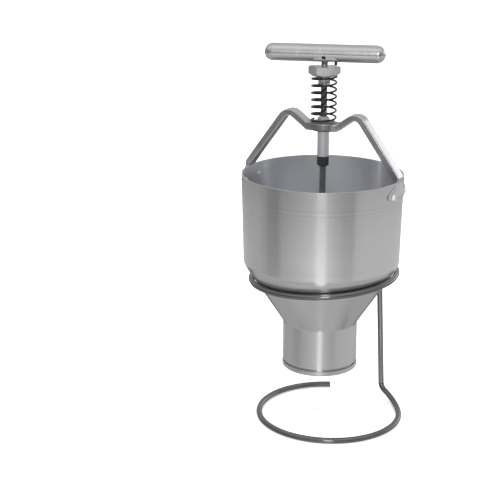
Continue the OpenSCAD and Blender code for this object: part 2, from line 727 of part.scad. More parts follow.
// Plunger rod, grooved for the piston's clip
clip_z = piston_z + piston_h + fixed_fit;
module plunger_rod() {
    edge = clip_depth;
    groove_r = plunger_r - clip_depth;
    groove_top = clip_z + clip_t + fixed_fit;
    color("whitesmoke") turned([[0, plunger_z], [plunger_r - edge, plunger_z], [plunger_r, plunger_z + edge],
                                [plunger_r, clip_z - fixed_fit], [groove_r, clip_z - fixed_fit],
                                [groove_r, groove_top], [plunger_r, groove_top],
                                [plunger_r, plunger_top - edge], [plunger_r - edge, plunger_top],
                                [0, plunger_top]]);
}

// Metering piston, grooved for its seal ring
module metering_piston() {
    seal_in = piston_r - seal_d - fixed_fit;
    mid = piston_z + piston_h / 2;
    half = seal_d / 2 + fixed_fit;
    bore = plunger_r + fixed_fit;
    color("whitesmoke") turned([[bore, piston_z], [piston_r - seal_d / 2, piston_z],
                                [piston_r, piston_z + seal_d / 2],
                                [piston_r, mid - half], [seal_in, mid - half], [seal_in, mid + half],
                                [piston_r, mid + half], [piston_r, piston_z + piston_h],
                                [bore, piston_z + piston_h]]);
}

// Seal ring of the piston
module piston_o_ring() {
    color("black") seal_ring(piston_r - seal_d / 2, piston_z + piston_h / 2);
}

// Open clip that keeps the piston down on its spacer
module piston_clip() {
    r_in = plunger_r - clip_depth + fixed_fit;
    color("gray") translate([0, 0, clip_z]) rotate_extrude(angle = 300)
        translate([r_in, 0]) square([plunger_r + spacer_wall - r_in, clip_t]);
}

// Spacer tube between the cutter disc and the piston
module spacer_tube() {
    color("gainsboro") tube(plunger_r + spacer_wall, plunger_r + fixed_fit, disc_top, piston_z);
}

// Cutter disc: a plug in the die's mouth with a coned lip below it
module cutter_disc() {
    bore = plunger_r + fixed_fit;
    lip_r = bore_r + disc_lip;
    color("gainsboro") turned([[bore, lip_z], [piston_r - disc_lip_h, lip_z],
                               [lip_r, lip_top - disc_lip_h / 4],
                               [lip_r, lip_top], [piston_r, lip_top], [piston_r, disc_top],
                               [bore, disc_top]]);
}

// Washer under the cutter disc
module end_washer() {
    color("gray") tube(nut_d / 2, plunger_r + fixed_fit, nut_top, lip_z);
}

// Domed nut at the rod's end
module end_nut() {
    dome_base = nut_d / 2 * cos(30);
    dome_r = (dome_base * dome_base + nut_dome * nut_dome) / (2 * nut_dome);
    dome = asin(dome_base / dome_r);
    low = nut_top - nut_h;
    color("gainsboro") difference() {
        union() {
            translate([0, 0, low]) hexagon(nut_d, nut_h, dial_chamfer / 2, 0);
            turned(concat([[0, low]], reversed(arc([0, low - nut_dome + dome_r], dome_r, -90, dome - 90))));
        }
        translate([0, 0, plunger_z - fixed_fit])
            cylinder(r = plunger_r + fixed_fit, h = nut_top - plunger_z + PAST);
    }
}

stand_rod();
hopper();
nozzle_die();
die_o_ring();
yoke();
yoke_rivets();
guide_sleeve();
guide_bush();
sleeve_screw();
return_spring();
spring_washer();
portion_dial();
index_pin();
plunger_rod();
t_handle();
handle_screw();
metering_piston();
piston_o_ring();
piston_clip();
spacer_tube();
cutter_disc();
end_washer();
end_nut();
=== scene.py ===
"""Looks of a hand-pushed batter depositor.

A spun aluminium funnel hangs in a bent steel rod. A cast yoke over it guides a sprung plunger with a
stepped portion dial and a cross handle. Lengths are metres in the part's own frame: +Z is up, +X runs
along the yoke, and the origin is on the table under the funnel's axis.
"""

import json
import math

import bmesh
import bpy
import numpy as np
from bpy.props import FloatProperty, FloatVectorProperty, IntProperty, PointerProperty
from bpy.types import Operator, Panel, PropertyGroup
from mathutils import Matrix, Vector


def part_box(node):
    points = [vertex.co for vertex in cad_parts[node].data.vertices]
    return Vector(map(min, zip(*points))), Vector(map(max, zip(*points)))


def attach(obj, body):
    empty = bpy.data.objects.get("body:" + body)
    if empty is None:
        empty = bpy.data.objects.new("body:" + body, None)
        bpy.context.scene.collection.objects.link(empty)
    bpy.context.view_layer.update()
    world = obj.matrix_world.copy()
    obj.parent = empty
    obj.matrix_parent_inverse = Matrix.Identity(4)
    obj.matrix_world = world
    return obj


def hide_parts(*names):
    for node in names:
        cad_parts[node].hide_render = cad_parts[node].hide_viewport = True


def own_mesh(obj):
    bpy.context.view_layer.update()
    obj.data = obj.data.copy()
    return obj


bl_info = {
    "name": "Batter depositor",
    "version": (1, 0, 0),
    "blender": (4, 5, 0),
    "location": "3D View > Sidebar > Depositor",
    "description": "Builds the looks of a hand-pushed batter depositor around its solids",
    "category": "Object",
}

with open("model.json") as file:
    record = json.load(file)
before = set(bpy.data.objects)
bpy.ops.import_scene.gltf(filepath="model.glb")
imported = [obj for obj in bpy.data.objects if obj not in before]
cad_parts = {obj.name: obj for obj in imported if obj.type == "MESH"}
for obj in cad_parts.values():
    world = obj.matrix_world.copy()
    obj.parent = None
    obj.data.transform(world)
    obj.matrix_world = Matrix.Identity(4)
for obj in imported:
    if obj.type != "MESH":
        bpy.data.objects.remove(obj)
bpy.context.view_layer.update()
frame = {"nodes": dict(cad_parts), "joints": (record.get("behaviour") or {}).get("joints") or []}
NODES = frame["nodes"]
MM = 0.001
UP = np.array([0.0, 0.0, 1.0])
FULL_TURN = 2 * math.pi
# In millimetres: the gap under the spring's lowest wire, and the radius of the handle's bar
SPRING_GAP = 0.15
BAR_RADIUS = 11.0


def length(name, millimetres, description):
    """A length property, given in millimetres and kept in metres."""
    return FloatProperty(name=name, description=description, default=millimetres * MM,
                         unit="LENGTH", subtype="DISTANCE", precision=5)


def angle(name, degrees, description):
    """An angle property, given in degrees."""
    return FloatProperty(name=name, description=description, default=math.radians(degrees),
                         unit="ROTATION", subtype="ANGLE")


def colour(name, values, description):
    """A colour property, given as three linear values."""
    return FloatVectorProperty(name=name, description=description, default=values, size=3,
                               subtype="COLOR", min=0.0, max=1.0)


class StandSizes(PropertyGroup):
    """Sizes of the bent rod."""

    rod: length("Rod", 7.5, "Diameter of the rod")
    base_ring: length("Base ring", 92.4, "Radius of the base ring at the middle of the rod")
    base_offset: length("Base offset", 13.6, "Distance from the funnel's axis to the base ring's centre")
    base_offset_turn: angle("Base direction", 22.4, "Direction of the base ring's centre from the yoke")
    base_height: length("Base height", 3.8, "Height of the base ring's middle line")
    free_end: angle("Free end", 112, "Angle of the base ring's free end about its own centre")
    climb_start: angle("Climb start", 24, "Angle at which the base ring starts to climb")
    climb_tilt: angle("Climb tilt", 28.5, "Tilt of the climbing stretch")
    climb_turn: angle("Climb turn", 37, "Turn of the climbing stretch")
    corner: length("Corner lead", 7.2, "Distance from each of the post's corners to its bend")
    ring: length("Support ring", 93.6, "Radius of the support ring at the middle of the rod")
    ring_tilt: angle("Ring tilt", 3.6, "Tilt of the support ring")
    ring_rise: angle("Ring rise", 25, "Direction in which the support ring rises")
    ring_start: angle("Ring start", 57.5, "Angle at which the post meets the support ring")
    ring_turn: angle("Ring turn", 328, "Turn of the support ring from the post to its free end")
    seat_gap: length("Seat gap", 0.25, "Gap between the support ring and the cone")


class FunnelSizes(PropertyGroup):
    """Sizes of the spun funnel and of the die in its skirt."""

    rim: length("Rim radius", 102.6, "Outer radius at the rim")
    shoulder: length("Shoulder radius", 99.9, "Outer radius at the shoulder")
    skirt: length("Skirt radius", 48.2, "Outer radius of the nozzle skirt")
    wall: length("Wall", 2.0, "Wall thickness")
    skirt_low: length("Skirt foot", 81.2, "Height of the skirt's lower edge")
    cone_low: length("Cone foot", 134.0, "Height at which the skirt turns into the cone")
    shoulder_high: length("Shoulder height", 213.1, "Height at which the cone turns into the wall")
    rim_high: length("Rim height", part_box("hopper")[1].z / MM, "Height of the rim")
    shoulder_fillet: length("Shoulder fillet", 16.0, "Radius of the shoulder")
    neck_fillet: length("Neck fillet", 5.0, "Radius between skirt and cone")
    flange_low: length("Flange foot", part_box("nozzle_die")[0].z / MM, "Height of the die's lower face")
    flange: length("Flange radius", 48.7, "Radius of the die's flange")
    flange_high: length("Flange height", 6.5, "Thickness of the die's flange")
    bore: length("Bore radius", 22.5, "Radius of the metering bore")
    bore_high: length("Bore length", 33.0, "Length of the metering bore")


class YokeSizes(PropertyGroup):
    """Sizes of the cast yoke."""

    boss_high: length("Boss height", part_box("return_spring")[0].z / MM - SPRING_GAP,
                      "Height of the boss's top")
    boss: length("Boss radius", 16.5, "Radius of the boss")
    boss_deep: length("Boss depth", 11.0, "Height of the boss from foot to top")
    bore: length("Boss bore", 7.52, "Radius of the boss's bore")
    arm_deep: length("Arm depth", 8.4, "Height of an arm's section")
    arm_wide: length("Arm width", 17.0, "Width of an arm's section")
    root_out: length("Root", 9.5, "Distance of an arm's root from the axis")
    turn_out: length("Turn", 20.8, "Distance from the axis at which an arm starts to rise")
    turn_drop: length("Turn drop", 1.0, "Drop of an arm's top below the boss's top where it starts to rise")
    climb: angle("Climb", 36, "Slope at which an arm rises from the boss")
    peak_out: length("Peak", 50.0, "Distance of the corner of an arm's falling stretch from the axis")
    peak_up: length("Peak rise", 9.3, "Rise of that corner over the boss's top")
    peak_bend: length("Peak bend", 16.5, "Radius of the peak's upper edge")
    peak_hollow: length("Peak hollow", 6.5, "Radius of the peak's lower edge")
    foot_up: length("Foot rise", 20.4, "Height over the rim at which an arm turns into its ear")
    foot_in: length("Foot inset", 12.6, "Distance inside the rim at which an arm turns into its ear")
    ear_thick: length("Ear thickness", 2.6, "Thickness of an ear")
    ear_half: length("Ear half width", 27.5, "Half width of an ear at its rivets")
    ear_drop: length("Ear drop", 24.0, "Drop of an ear's lowest point below the rim")
    neck_half: length("Neck half width", 8.4, "Half width of an ear's neck at the rim")
    tip: length("Tip radius", 4.0, "Radius of an ear's side tips")
    tip_drop: length("Tip drop", 15.0, "Drop of an ear's side tips below the rim")
    wall_gap: length("Wall gap", 0.15, "Gap between an ear and the funnel's wall")
    seat_gap: length("Seat gap", 0.25, "Gap between an arm's heel and the rim")
    screw_turn: angle("Screw direction", -39, "Direction of the sleeve's set screw")
    screw: length("Screw hole", 2.0, "Radius of the set screw's hole")


class SpringSizes(PropertyGroup):
    """Sizes of the return spring."""

    wire: length("Wire", 2.5, "Diameter of the wire")
    radius: length("Radius", 15.2, "Radius of the coil at the middle of the wire")
    low: length("Lower end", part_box("return_spring")[0].z / MM, "Height of the lowest wire's foot")
    high: length("Upper end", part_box("return_spring")[1].z / MM, "Height of the highest wire's top")
    turns: FloatProperty(name="Curls", description="Number of curls", default=6.6, min=3, max=12)
    ease: FloatProperty(name="Levelling", description="Part of a curl over which each end levels out",
                        default=0.35, min=0.1, max=1)
    start: angle("Start", 175, "Angle at which the lower end starts")
    rings: IntProperty(name="Rings", description="Rings of the wire in a curl", default=56, min=12)


class HandleSizes(PropertyGroup):
    """Sizes of the cross handle."""

    radius: length("Radius", BAR_RADIUS, "Radius of the bar")
    long: length("Length", 150.0, "Length of the bar")
    dome: length("Dome", 9.5, "Length of each domed end")
    edge: length("Edge", 0.35, "Width of the bevel between the bar and its domes")
    turn: angle("Direction", 16, "Direction of the bar from the yoke")
    high: length("Height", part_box("t_handle")[1].z / MM - BAR_RADIUS, "Height of the bar's axis")
    screw: length("Screw hole", 2.15, "Radius of the set screw's hole")
    screw_slope: angle("Screw slope", 25, "Slope of the set screw below level")


class FinishColours(PropertyGroup):
    """Colours of the finishes."""

    spun: colour("Spun aluminium", (0.80, 0.80, 0.81), "Funnel")
    # Painted light: the inside of the same spun sheet is coloured paler and cooler, for the light that fills
    # the funnel
    inside: colour("Inside", (0.88, 0.89, 0.92), "Inside of the funnel")
    turned: colour("Turned aluminium", (0.79, 0.79, 0.80), "Handle, dial, die, rivets and sleeve")
    cast: colour("Cast aluminium", (0.82, 0.82, 0.83), "Yoke")
    # Painted shade: the boss is coloured darker and warmer for the shade under the spring, dial and handle
    boss: colour("Boss painted shade", (0.42, 0.413, 0.392), "Boss of the yoke")
    stand: colour("Stand steel", (0.26, 0.26, 0.265), "Bent rod")
    spring: colour("Spring steel", (0.060, 0.057, 0.053), "Return spring")
    bright: colour("Bright steel", (0.40, 0.40, 0.41), "Plunger rod and its stack")
    bush: colour("Polished bush", (0.17, 0.17, 0.175), "Bush at the foot of the sleeve")
    screw: colour("Screw steel", (0.03, 0.03, 0.033), "Set screws and index pin")
    plastic: colour("White plastic", (0.80, 0.79, 0.76), "Metering piston")
    rubber: colour("Rubber", (0.02, 0.02, 0.021), "Seal rings")
    floor: colour("Floor", (0.93, 0.93, 0.93), "Floor, backdrop and cove")


class DepositorSettings(PropertyGroup):
    """All sizes and colours of the depositor."""

    stand: PointerProperty(type=StandSizes)
    funnel: PointerProperty(type=FunnelSizes)
    yoke: PointerProperty(type=YokeSizes)
    spring: PointerProperty(type=SpringSizes)
    handle: PointerProperty(type=HandleSizes)
    finish: PointerProperty(type=FinishColours)


class Flow:
    """A socket of a node tree. Arithmetic on it adds Math nodes."""

    def __init__(self, shop, socket):
        self.shop = shop
        self.socket = socket

    def _math(self, operation, a, b):
        return self.shop.node("ShaderNodeMath", {"operation": operation}, {0: a, 1: b})

    def __add__(self, other):
        return self._math("ADD", self, other)

    __radd__ = __add__

    def __sub__(self, other):
        return self._math("SUBTRACT", self, other)

    def __rsub__(self, other):
        return self._math("SUBTRACT", other, self)

    def __mul__(self, other):
        return self._math("MULTIPLY", self, other)

    __rmul__ = __mul__

    def __truediv__(self, other):
        return self._math("DIVIDE", self, other)

    def __rtruediv__(self, other):
        return self._math("DIVIDE", other, self)

    def __pow__(self, other):
        return self._math("POWER", self, other)

    def __abs__(self):
        return self._math("ABSOLUTE", self, 0.0)


class NodeShop:
    """Builds the node tree of one material or world."""

    def __init__(self, owner):
        owner.use_nodes = True
        self.tree = owner.node_tree
        self.tree.nodes.clear()

    def node(self, kind, settings=None, sockets=None, out=0):
        """Add a node, set its settings and then its sockets, and return the named output or outputs."""
        made = self.tree.nodes.new(kind)
        for key, value in (settings or {}).items():
            if key == "stops":
                elements = made.color_ramp.elements
                while len(elements) < len(value):
                    elements.new(1.0)
                for element, (place, level) in zip(elements, value):
                    element.position = place
                    element.color = grey(level)
            elif key == "interpolation":
                made.color_ramp.interpolation = value
            else:
                setattr(made, key, value)
        for key, value in (sockets or {}).items():
            if isinstance(value, Flow):
                self.tree.links.new(value.socket, made.inputs[key])
            else:
                made.inputs[key].default_value = value
        if isinstance(out, tuple):
            return tuple(Flow(self, made.outputs[o]) for o in out)
        return Flow(self, made.outputs[out]) if len(made.outputs) else None


def grey(level):
    """A grey with full alpha."""
    return (level, level, level, 1.0)


def rgba(values, gain=1.0):
    """A colour with full alpha, scaled by a gain."""
    return tuple(min(1.0, v * gain) for v in values) + (1.0,)


def coordinates(shop, space):
    """The X, Y and Z of a point, in the piece's own space, on its UV map or along a ray of the world."""
    vector = shop.node("ShaderNodeTexCoord", out=space)
    return shop.node("ShaderNodeSeparateXYZ", {}, {0: vector}, out=(0, 1, 2))


def stretched_noise(shop, scale, detail, turn=0.0, space="Object"):
    """Noise over the piece's own coordinates, turned about Z and stretched by a scale along each axis."""
    vector = shop.node("ShaderNodeTexCoord", out=space)
    for change in ({"Rotation": (0.0, 0.0, -turn)}, {"Scale": scale}):
        vector = shop.node("ShaderNodeMapping", {"vector_type": "POINT"}, {"Vector": vector, **change})
    return shop.node("ShaderNodeTexNoise", {}, {"Vector": vector, "Scale": 1.0, "Detail": detail})


def even_noise(shop, scale, detail):
    """Noise over the piece's own coordinates, with one scale along all axes."""
    return stretched_noise(shop, (scale, scale, scale), detail)


def ramp(shop, value, low, high):
    """A value spread from low..high to 0..1 and kept there."""
    return shop.node("ShaderNodeMapRange", {"clamp": True},
                     {"Value": value, "From Min": low, "From Max": high})


def shade(shop, dark, light, factor):
    """A colour between dark and light by a factor."""
    return shop.node("ShaderNodeMix", {"data_type": "RGBA"}, {0: factor, 6: dark, 7: light}, out=2)


def toned(shop, values, dark, light, factor):
    """One colour at a gain between dark and light by a factor."""
    return shade(shop, rgba(values, dark), rgba(values, light), factor)


def bumped(shop, height, strength, distance):
    """A normal bent by a height field."""
    return shop.node("ShaderNodeBump", {}, {"Height": height, "Strength": strength, "Distance": distance})


def finish(sockets):
    """Make a function that gives a finish's shader sockets into one that gives its material.

    A material is made once under its name, which is kept apart from the names of the solids' own.
    """
    def material(*values, name=sockets.__name__, **named):
        name = "finish_" + name
        if name not in bpy.data.materials:
            shop = NodeShop(bpy.data.materials.new(name))
            surface = shop.node("ShaderNodeBsdfPrincipled", {}, sockets(shop, *values, **named))
            shop.node("ShaderNodeOutputMaterial", {}, {"Surface": surface})
        return bpy.data.materials[name]
    return material


@finish
def spun_aluminium(shop, colours, rim_run):
    """Lathe-spun sheet: fine rings round the axis, a few deeper tool rings and faint handling marks.

    From the rim on, by the length along the UV map, the inside is painted paler and cooler, a painted light
    that stands for the light filling the funnel, and it is rougher. Under the shoulder the sheet is a little
    duller.
    """
    rim_blend = 0.5 * MM
    ring_level, ring_pitch = 300 * MM, 5.5 * MM
    ring_reach, ring_full = 14 * MM, 4 * MM
    dull_start, dull_full = 205 * MM, 180 * MM
    run = coordinates(shop, "UV")[1]
    # Mask of the inside: it carries the painted light of the inside colour and a real rise in roughness
    inside = ramp(shop, run, rim_run, rim_run + rim_blend)
    fine = stretched_noise(shop, (9, 9, 1500), 2.0)
    bands = stretched_noise(shop, (2.5, 2.5, 140), 3.0)
    marks = stretched_noise(shop, (26, 26, 20), 5.0)
    height = coordinates(shop, "Object")[2]
    near = ramp(shop, abs(height - ring_level), ring_reach, ring_full)
    wave = shop.node("ShaderNodeMath", {"operation": "SINE"}, {0: height * (FULL_TURN / ring_pitch)})
    low = ramp(shop, height, dull_start, dull_full)
    tone = fine * 0.35 + bands * 0.35 + marks * 0.3
    worn = ramp(shop, bands * 0.5 + marks * 0.5, 0.2, 0.8)
    return {
        # Outside, the spun sheet's own colour; inside, the same sheet painted paler and cooler as painted
        # light
        "Base Color": shade(shop, toned(shop, colours.spun, 0.88, 1.08, tone),
                            toned(shop, colours.inside, 0.94, 1.03, tone), inside),
        "Metallic": 1.0,
        "Roughness": worn * 0.09 + 0.14 + inside * 0.13 + low * 0.06,
        "Anisotropic": 0.88,
        "Anisotropic Rotation": 0.25,
        "Normal": bumped(shop, fine * 0.5 + bands * 0.6 + near * wave * 0.28, 0.40, 0.00006),
    }


@finish
def turned_aluminium(shop, colours, turn=None, rough=0.24, streak=0.6, metal=1.0, cut=0.16):
    """Turned bar: tool rings round the piece's own axis under a satin finish.

    The axis is +Z, or a level line at an angle from +X. The tool's cut sets how deep the rings are.
    """
    along = (8, 8, 1300) if turn is None else (1300, 8, 8)
    wide = (3, 3, 170) if turn is None else (170, 3, 3)
    fine = stretched_noise(shop, along, 2.0, turn or 0.0)
    bands = stretched_noise(shop, wide, 2.0, turn or 0.0)
    marks = even_noise(shop, 60, 4.0)
    return {
        "Base Color": toned(shop, colours.turned, 0.84, 1.08, fine * 0.4 + bands * 0.3 + marks * 0.3),
        "Metallic": metal,
        "Roughness": ramp(shop, bands * 0.4 + marks * 0.6, 0.25, 0.75) * 0.10 + rough,
        "Anisotropic": streak,
        "Anisotropic Rotation": 0.25,
        "Normal": bumped(shop, fine + bands * 0.5, cut, 0.00003),
    }


@finish
def cast_aluminium(shop, colours, boss_radius):
    """Polished casting: slow waves left by the polishing wheel, small pits and rubbed lines.

    Within the boss's radius the colour is darker and warmer, which is painted shade, and the surface is
    duller.
    """
    boss_blend = 5.5 * MM
    waves = even_noise(shop, 55, 2.0)
    pits = even_noise(shop, 620, 2.0)
    rubbed = stretched_noise(shop, (70, 900, 70), 3.0)
    tone = waves * 0.5 + rubbed * 0.5
    x, y, _ = coordinates(shop, "Object")
    # Mask of the boss: painted shade darkens its colour, and its roughness rises
    boss = ramp(shop, (x * x + y * y) ** 0.5, boss_radius + boss_blend, boss_radius)
    relief = waves * 2.5 + rubbed * 0.12 + ramp(shop, pits, 0.30, 0.42) * 0.25
    return {
        "Base Color": shade(shop, toned(shop, colours.cast, 0.80, 1.10, tone),
                            toned(shop, colours.boss, 0.88, 1.08, tone), boss),
        "Metallic": 1.0,
        "Roughness": ramp(shop, waves * 0.6 + rubbed * 0.4, 0.3, 0.7) * 0.10 + 0.12 + boss * 0.22,
        "Normal": bumped(shop, relief, 0.30, 0.0002),
    }


@finish
def drawn_steel(shop, colours):
    """Drawn rod: long streaks along its UV map over a mottled skin, which is duller at the sawn end."""
    sawn_start, sawn_full = 34 * MM, 12 * MM
    streaks = stretched_noise(shop, (26, 14, 1), 4.0, space="UV")
    mottle = even_noise(shop, 150, 5.0)
    patches = even_noise(shop, 22, 3.0)
    run = coordinates(shop, "UV")[1]
    sawn = ramp(shop, run, sawn_start, sawn_full)
    tone = streaks * 0.45 + mottle * 0.25 + patches * 0.3
    return {
        "Base Color": toned(shop, colours.stand, 0.74, 1.26, tone),
        "Metallic": 1.0,
        "Roughness": ramp(shop, streaks * 0.4 + mottle * 0.6, 0.3, 0.7) * 0.09 + 0.08 + sawn * 0.42,
        "Normal": bumped(shop, streaks * 0.7 + mottle * 0.4, 0.22, 0.00006),
    }


@finish
def oiled_spring_steel(shop, colours):
    """Oil-hardened wire: nearly black, with a thin uneven film."""
    film = even_noise(shop, 240, 4.0)
    drawn = stretched_noise(shop, (90, 90, 700), 2.0)
    return {
        "Base Color": toned(shop, colours.spring, 0.6, 1.7, film * 0.6 + drawn * 0.4),
        "Metallic": 1.0,
        "Roughness": ramp(shop, film, 0.3, 0.7) * 0.14 + 0.18,
        "Normal": bumped(shop, film * 0.5 + drawn * 0.5, 0.3, 0.00005),
    }


@finish
def bright_steel(shop, tint):
    """Ground stainless bar: very fine rings and a few rubbed streaks."""
    ground = stretched_noise(shop, (30, 30, 2600), 2.0)
    rubbed = stretched_noise(shop, (900, 900, 12), 2.0)
    tone = ground * 0.5 + rubbed * 0.5
    return {
        "Base Color": toned(shop, tint, 0.78, 1.12, tone),
        "Metallic": 1.0,
        "Roughness": ramp(shop, tone, 0.3, 0.7) * 0.08 + 0.07,
        "Normal": bumped(shop, ground + rubbed * 0.6, 0.2, 0.00002),
    }


@finish
def blackened_screw_steel(shop, colours):
    """Blackened steel with rubbed, paler spots."""
    rubbed = even_noise(shop, 500, 3.0)
    return {
        "Base Color": toned(shop, colours.screw, 1.0, 3.0, ramp(shop, rubbed, 0.45, 0.8)),
        "Metallic": ramp(shop, rubbed, 0.3, 0.6) * 0.3 + 0.7,
        "Roughness": rubbed * 0.2 + 0.38,
        "Normal": bumped(shop, rubbed, 0.3, 0.00005),
    }


@finish
def seal_rubber(shop, colours):
    """Moulded rubber: matt, with a dusty bloom."""
    bloom = even_noise(shop, 160, 4.0)
    grain = even_noise(shop, 1400, 2.0)
    return {
        "Base Color": toned(shop, colours.rubber, 1.0, 2.4, ramp(shop, bloom, 0.4, 0.8)),
        "Roughness": bloom * 0.25 + 0.55,
        "Normal": bumped(shop, grain, 0.25, 0.00004),
    }


@finish
def turned_plastic(shop, colours):
    """White food-safe plastic, faced and turned on a lathe."""
    rings = stretched_noise(shop, (12, 12, 1600), 2.0)
    cloud = even_noise(shop, 40, 3.0)
    return {
        "Base Color": toned(shop, colours.plastic, 0.92, 1.06, rings * 0.5 + cloud * 0.5),
        "Roughness": cloud * 0.15 + 0.40,
        "Subsurface Weight": 0.08,
        "Subsurface Radius": (0.004, 0.004, 0.0035),
        "Normal": bumped(shop, rings, 0.25, 0.00003),
    }


@finish
def floor_paper(shop, colours, glow=0.48):
    """Seamless studio paper, lit from behind by its glow."""
    return {
        "Base Color": toned(shop, colours.floor, 0.985, 1.0, even_noise(shop, 35, 4.0)),
        "Roughness": 0.9,
        "Specular IOR Level": 0.1,
        "Emission Color": rgba(colours.floor),
        "Emission Strength": glow,
    }


def smoothstep(t):
    """0 below 0, 1 above 1 and 3t^2 - 2t^3 between them."""
    t = np.clip(t, 0.0, 1.0)
    return t * t * (3.0 - 2.0 * t)


def unit(v):
    """A vector, or each row of an array of vectors, divided by its length."""
    return v / np.linalg.norm(v, axis=-1, keepdims=True)


def out(turn):
    """The level direction at an angle from +X."""
    return np.array([math.cos(turn), math.sin(turn), 0.0])


def run_along(points):
    """The length along a line of points, from the first one to each."""
    return np.concatenate([[0.0], np.cumsum(np.linalg.norm(np.diff(points, axis=0), axis=1))])


def stretch(start, end, steps):
    """Evenly spread points of a straight line, after its start and up to its end."""
    return start + np.linspace(0, 1, steps + 1)[1:, None] * (end - start)


def filleted(corners, radii, steps):
    """A closed outline whose corners are arcs.

    Each arc touches both sides of its corner, so its centre is on the bisector, at radius / sin(half the
    corner's angle), and it starts radius / tan(half the angle) before the corner.
    """
    corners = np.asarray(corners, float)
    line = []
    for k, (corner, radius) in enumerate(zip(corners, radii)):
        if radius == 0:
            line.append(corner[None])
            continue
        back = unit(corners[k - 1] - corner)
        ahead = unit(corners[(k + 1) % len(corners)] - corner)
        half = math.acos(float(back @ ahead)) / 2
        centre = corner + unit(back + ahead) * radius / math.sin(half)
        first = corner + back * radius / math.tan(half) - centre
        last = corner + ahead * radius / math.tan(half) - centre
        a0 = math.atan2(first[1], first[0])
        sweep = math.remainder(math.atan2(last[1], last[0]) - a0, FULL_TURN)
        a = a0 + sweep * np.linspace(0, 1, steps + 1)
        line.append(centre + radius * np.stack([np.cos(a), np.sin(a)], 1))
    return np.concatenate(line)


def turned_grid(outline, segments, closed=True):
    """A surface of revolution about Z: (r cos a, r sin a, z) for each (r, z) of an outline."""
    outline = np.concatenate([outline, outline[:1]]) if closed else outline
    a = np.linspace(0, FULL_TURN, segments + 1)
    r, z = outline[:, :1], outline[:, 1:]
    return np.stack(np.broadcast_arrays(r * np.cos(a), r * np.sin(a), z), -1)


def rod_grid(path, heading, lead, radius, sides, chamfer):
    """A round rod along a path, with coned and closed ends: point + r cos(a) side + r sin(a) across.

    Side is lead made square to heading, and across is heading x side. At both ends the radius goes from zero
    over the cut face and the chamfer to its full size.
    """
    path = np.concatenate([path[:1], path[:1], path[:1] + chamfer * heading[:1], path[1:-1],
                           path[-1:] - chamfer * heading[-1:], path[-1:], path[-1:]])
    heading, lead = (np.pad(v, ((2, 2), (0, 0)), "edge") for v in (heading, lead))
    size = np.full((len(path), 1, 1), radius)
    size[[0, -1]] = 0.0
    size[[1, -2]] = radius - chamfer
    side = unit(lead - (lead * heading).sum(1, keepdims=True) * heading)
    across = np.cross(heading, side)
    a = np.linspace(0, FULL_TURN, sides + 1)[:, None]
    return path[:, None] + size * (np.cos(a) * side[:, None] + np.sin(a) * across[:, None])


def bend(point, heading, side, radius, turn, steps):
    """Points and headings of a circular bend.

    The points are p + r sin(a) d + r (1 - cos(a)) n and the headings cos(a) d + sin(a) n.
    """
    a = np.linspace(0, turn, steps + 1)[:, None]
    points = point + radius * (np.sin(a) * heading + (1 - np.cos(a)) * side)
    return points, np.cos(a) * heading + np.sin(a) * side


def drilled(grid, radius, turn, level, hole, depth, edge):
    """A grid turned about Z, with a round hole pushed into its wall at an angle and a level.

    Points of the wall within the hole's radius of its axis move in by the depth, over a narrow rounded edge.
    """
    skin = 0.5 * MM
    reach = np.hypot(grid[..., 0], grid[..., 1])
    a = np.arctan2(grid[..., 1], grid[..., 0]) - turn
    a = np.remainder(a + math.pi, FULL_TURN) - math.pi
    away = np.hypot(radius * a, grid[..., 2] - level)
    pushed = depth * (1 - smoothstep((away - hole) / edge)) * (reach > radius - skin)
    scale = 1 - pushed / np.maximum(1e-6, reach)
    return grid * np.stack([scale, scale, np.ones_like(scale)], -1)


def capped(grid):
    """A grid closed at both ends by a row at the middle of its first and of its last row."""
    first, last = (np.broadcast_to(row.mean(1, keepdims=True), row.shape) for row in (grid[:1], grid[-1:]))
    return np.concatenate([first, grid, last])


def linked(name, data):
    """An object in the scene."""
    made = bpy.data.objects.new(name, data)
    bpy.context.scene.collection.objects.link(made)
    return made


def grid_mesh(name, grids, material):
    """A smooth mesh of quads between the points of grids.

    Each grid's columns run round the piece and its rows along it. The UV map is the share of the way round
    and the length along the first column.
    """
    points, quads, uvs, start = [], [], [], 0
    for grid in grids:
        rows, columns = grid.shape[:2]
        index = np.arange(rows * columns).reshape(rows, columns) + start
        corners = index[:-1, :-1], index[:-1, 1:], index[1:, 1:], index[1:, :-1]
        around, along = np.meshgrid(np.linspace(0, 1, columns), run_along(grid[:, 0]))
        points.append(grid.reshape(-1, 3))
        quads.append(np.stack(corners, -1).reshape(-1, 4))
        uvs.append(np.stack([around, along], -1).reshape(-1, 2))
        start += rows * columns
    points, quads, uvs = (np.concatenate(parts) for parts in (points, quads, uvs))
    mesh = bpy.data.meshes.new(name)
    mesh.from_pydata(points.tolist(), [], quads.tolist())
    layer = mesh.uv_layers.new(name="UVMap")
    layer.data.foreach_set("uv", uvs[quads.reshape(-1)].astype(np.float32).ravel())
    mesh.polygons.foreach_set("use_smooth", [True] * len(mesh.polygons))
    mesh.materials.append(material)
    return mesh


def make_piece(name, grids, body, material, node, sharp=40.0):
    """A closed piece made of grids that rides on a body and stands for a CAD node.

    Doubled points at seams and poles are merged, and edges over an angle in degrees stay sharp.
    """
    mesh = grid_mesh(name, grids, material)
    work = bmesh.new()
    work.from_mesh(mesh)
    bmesh.ops.remove_doubles(work, verts=work.verts, dist=1e-7)
    bmesh.ops.dissolve_degenerate(work, edges=work.edges, dist=1e-8)
    bmesh.ops.recalc_face_normals(work, faces=work.faces)
    work.to_mesh(mesh)
    work.free()
    mesh.set_sharp_from_angle(angle=math.radians(sharp))
    piece = linked(name, mesh)
    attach(piece, body)
    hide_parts(node)
    return piece


def dress(material, *nodes):
    """Give CAD nodes a finish."""
    for name in nodes:
        for holder in NODES[name].material_slots:
            holder.material = material


def cone_slope(f):
    """Radius that the funnel's cone gains per height."""
    return (f.shoulder - f.skirt) / (f.shoulder_high - f.cone_low)


def wall_flare(f):
    """Radius that the funnel's upper wall gains per height."""
    return (f.rim - f.shoulder) / (f.rim_high - f.shoulder_high)


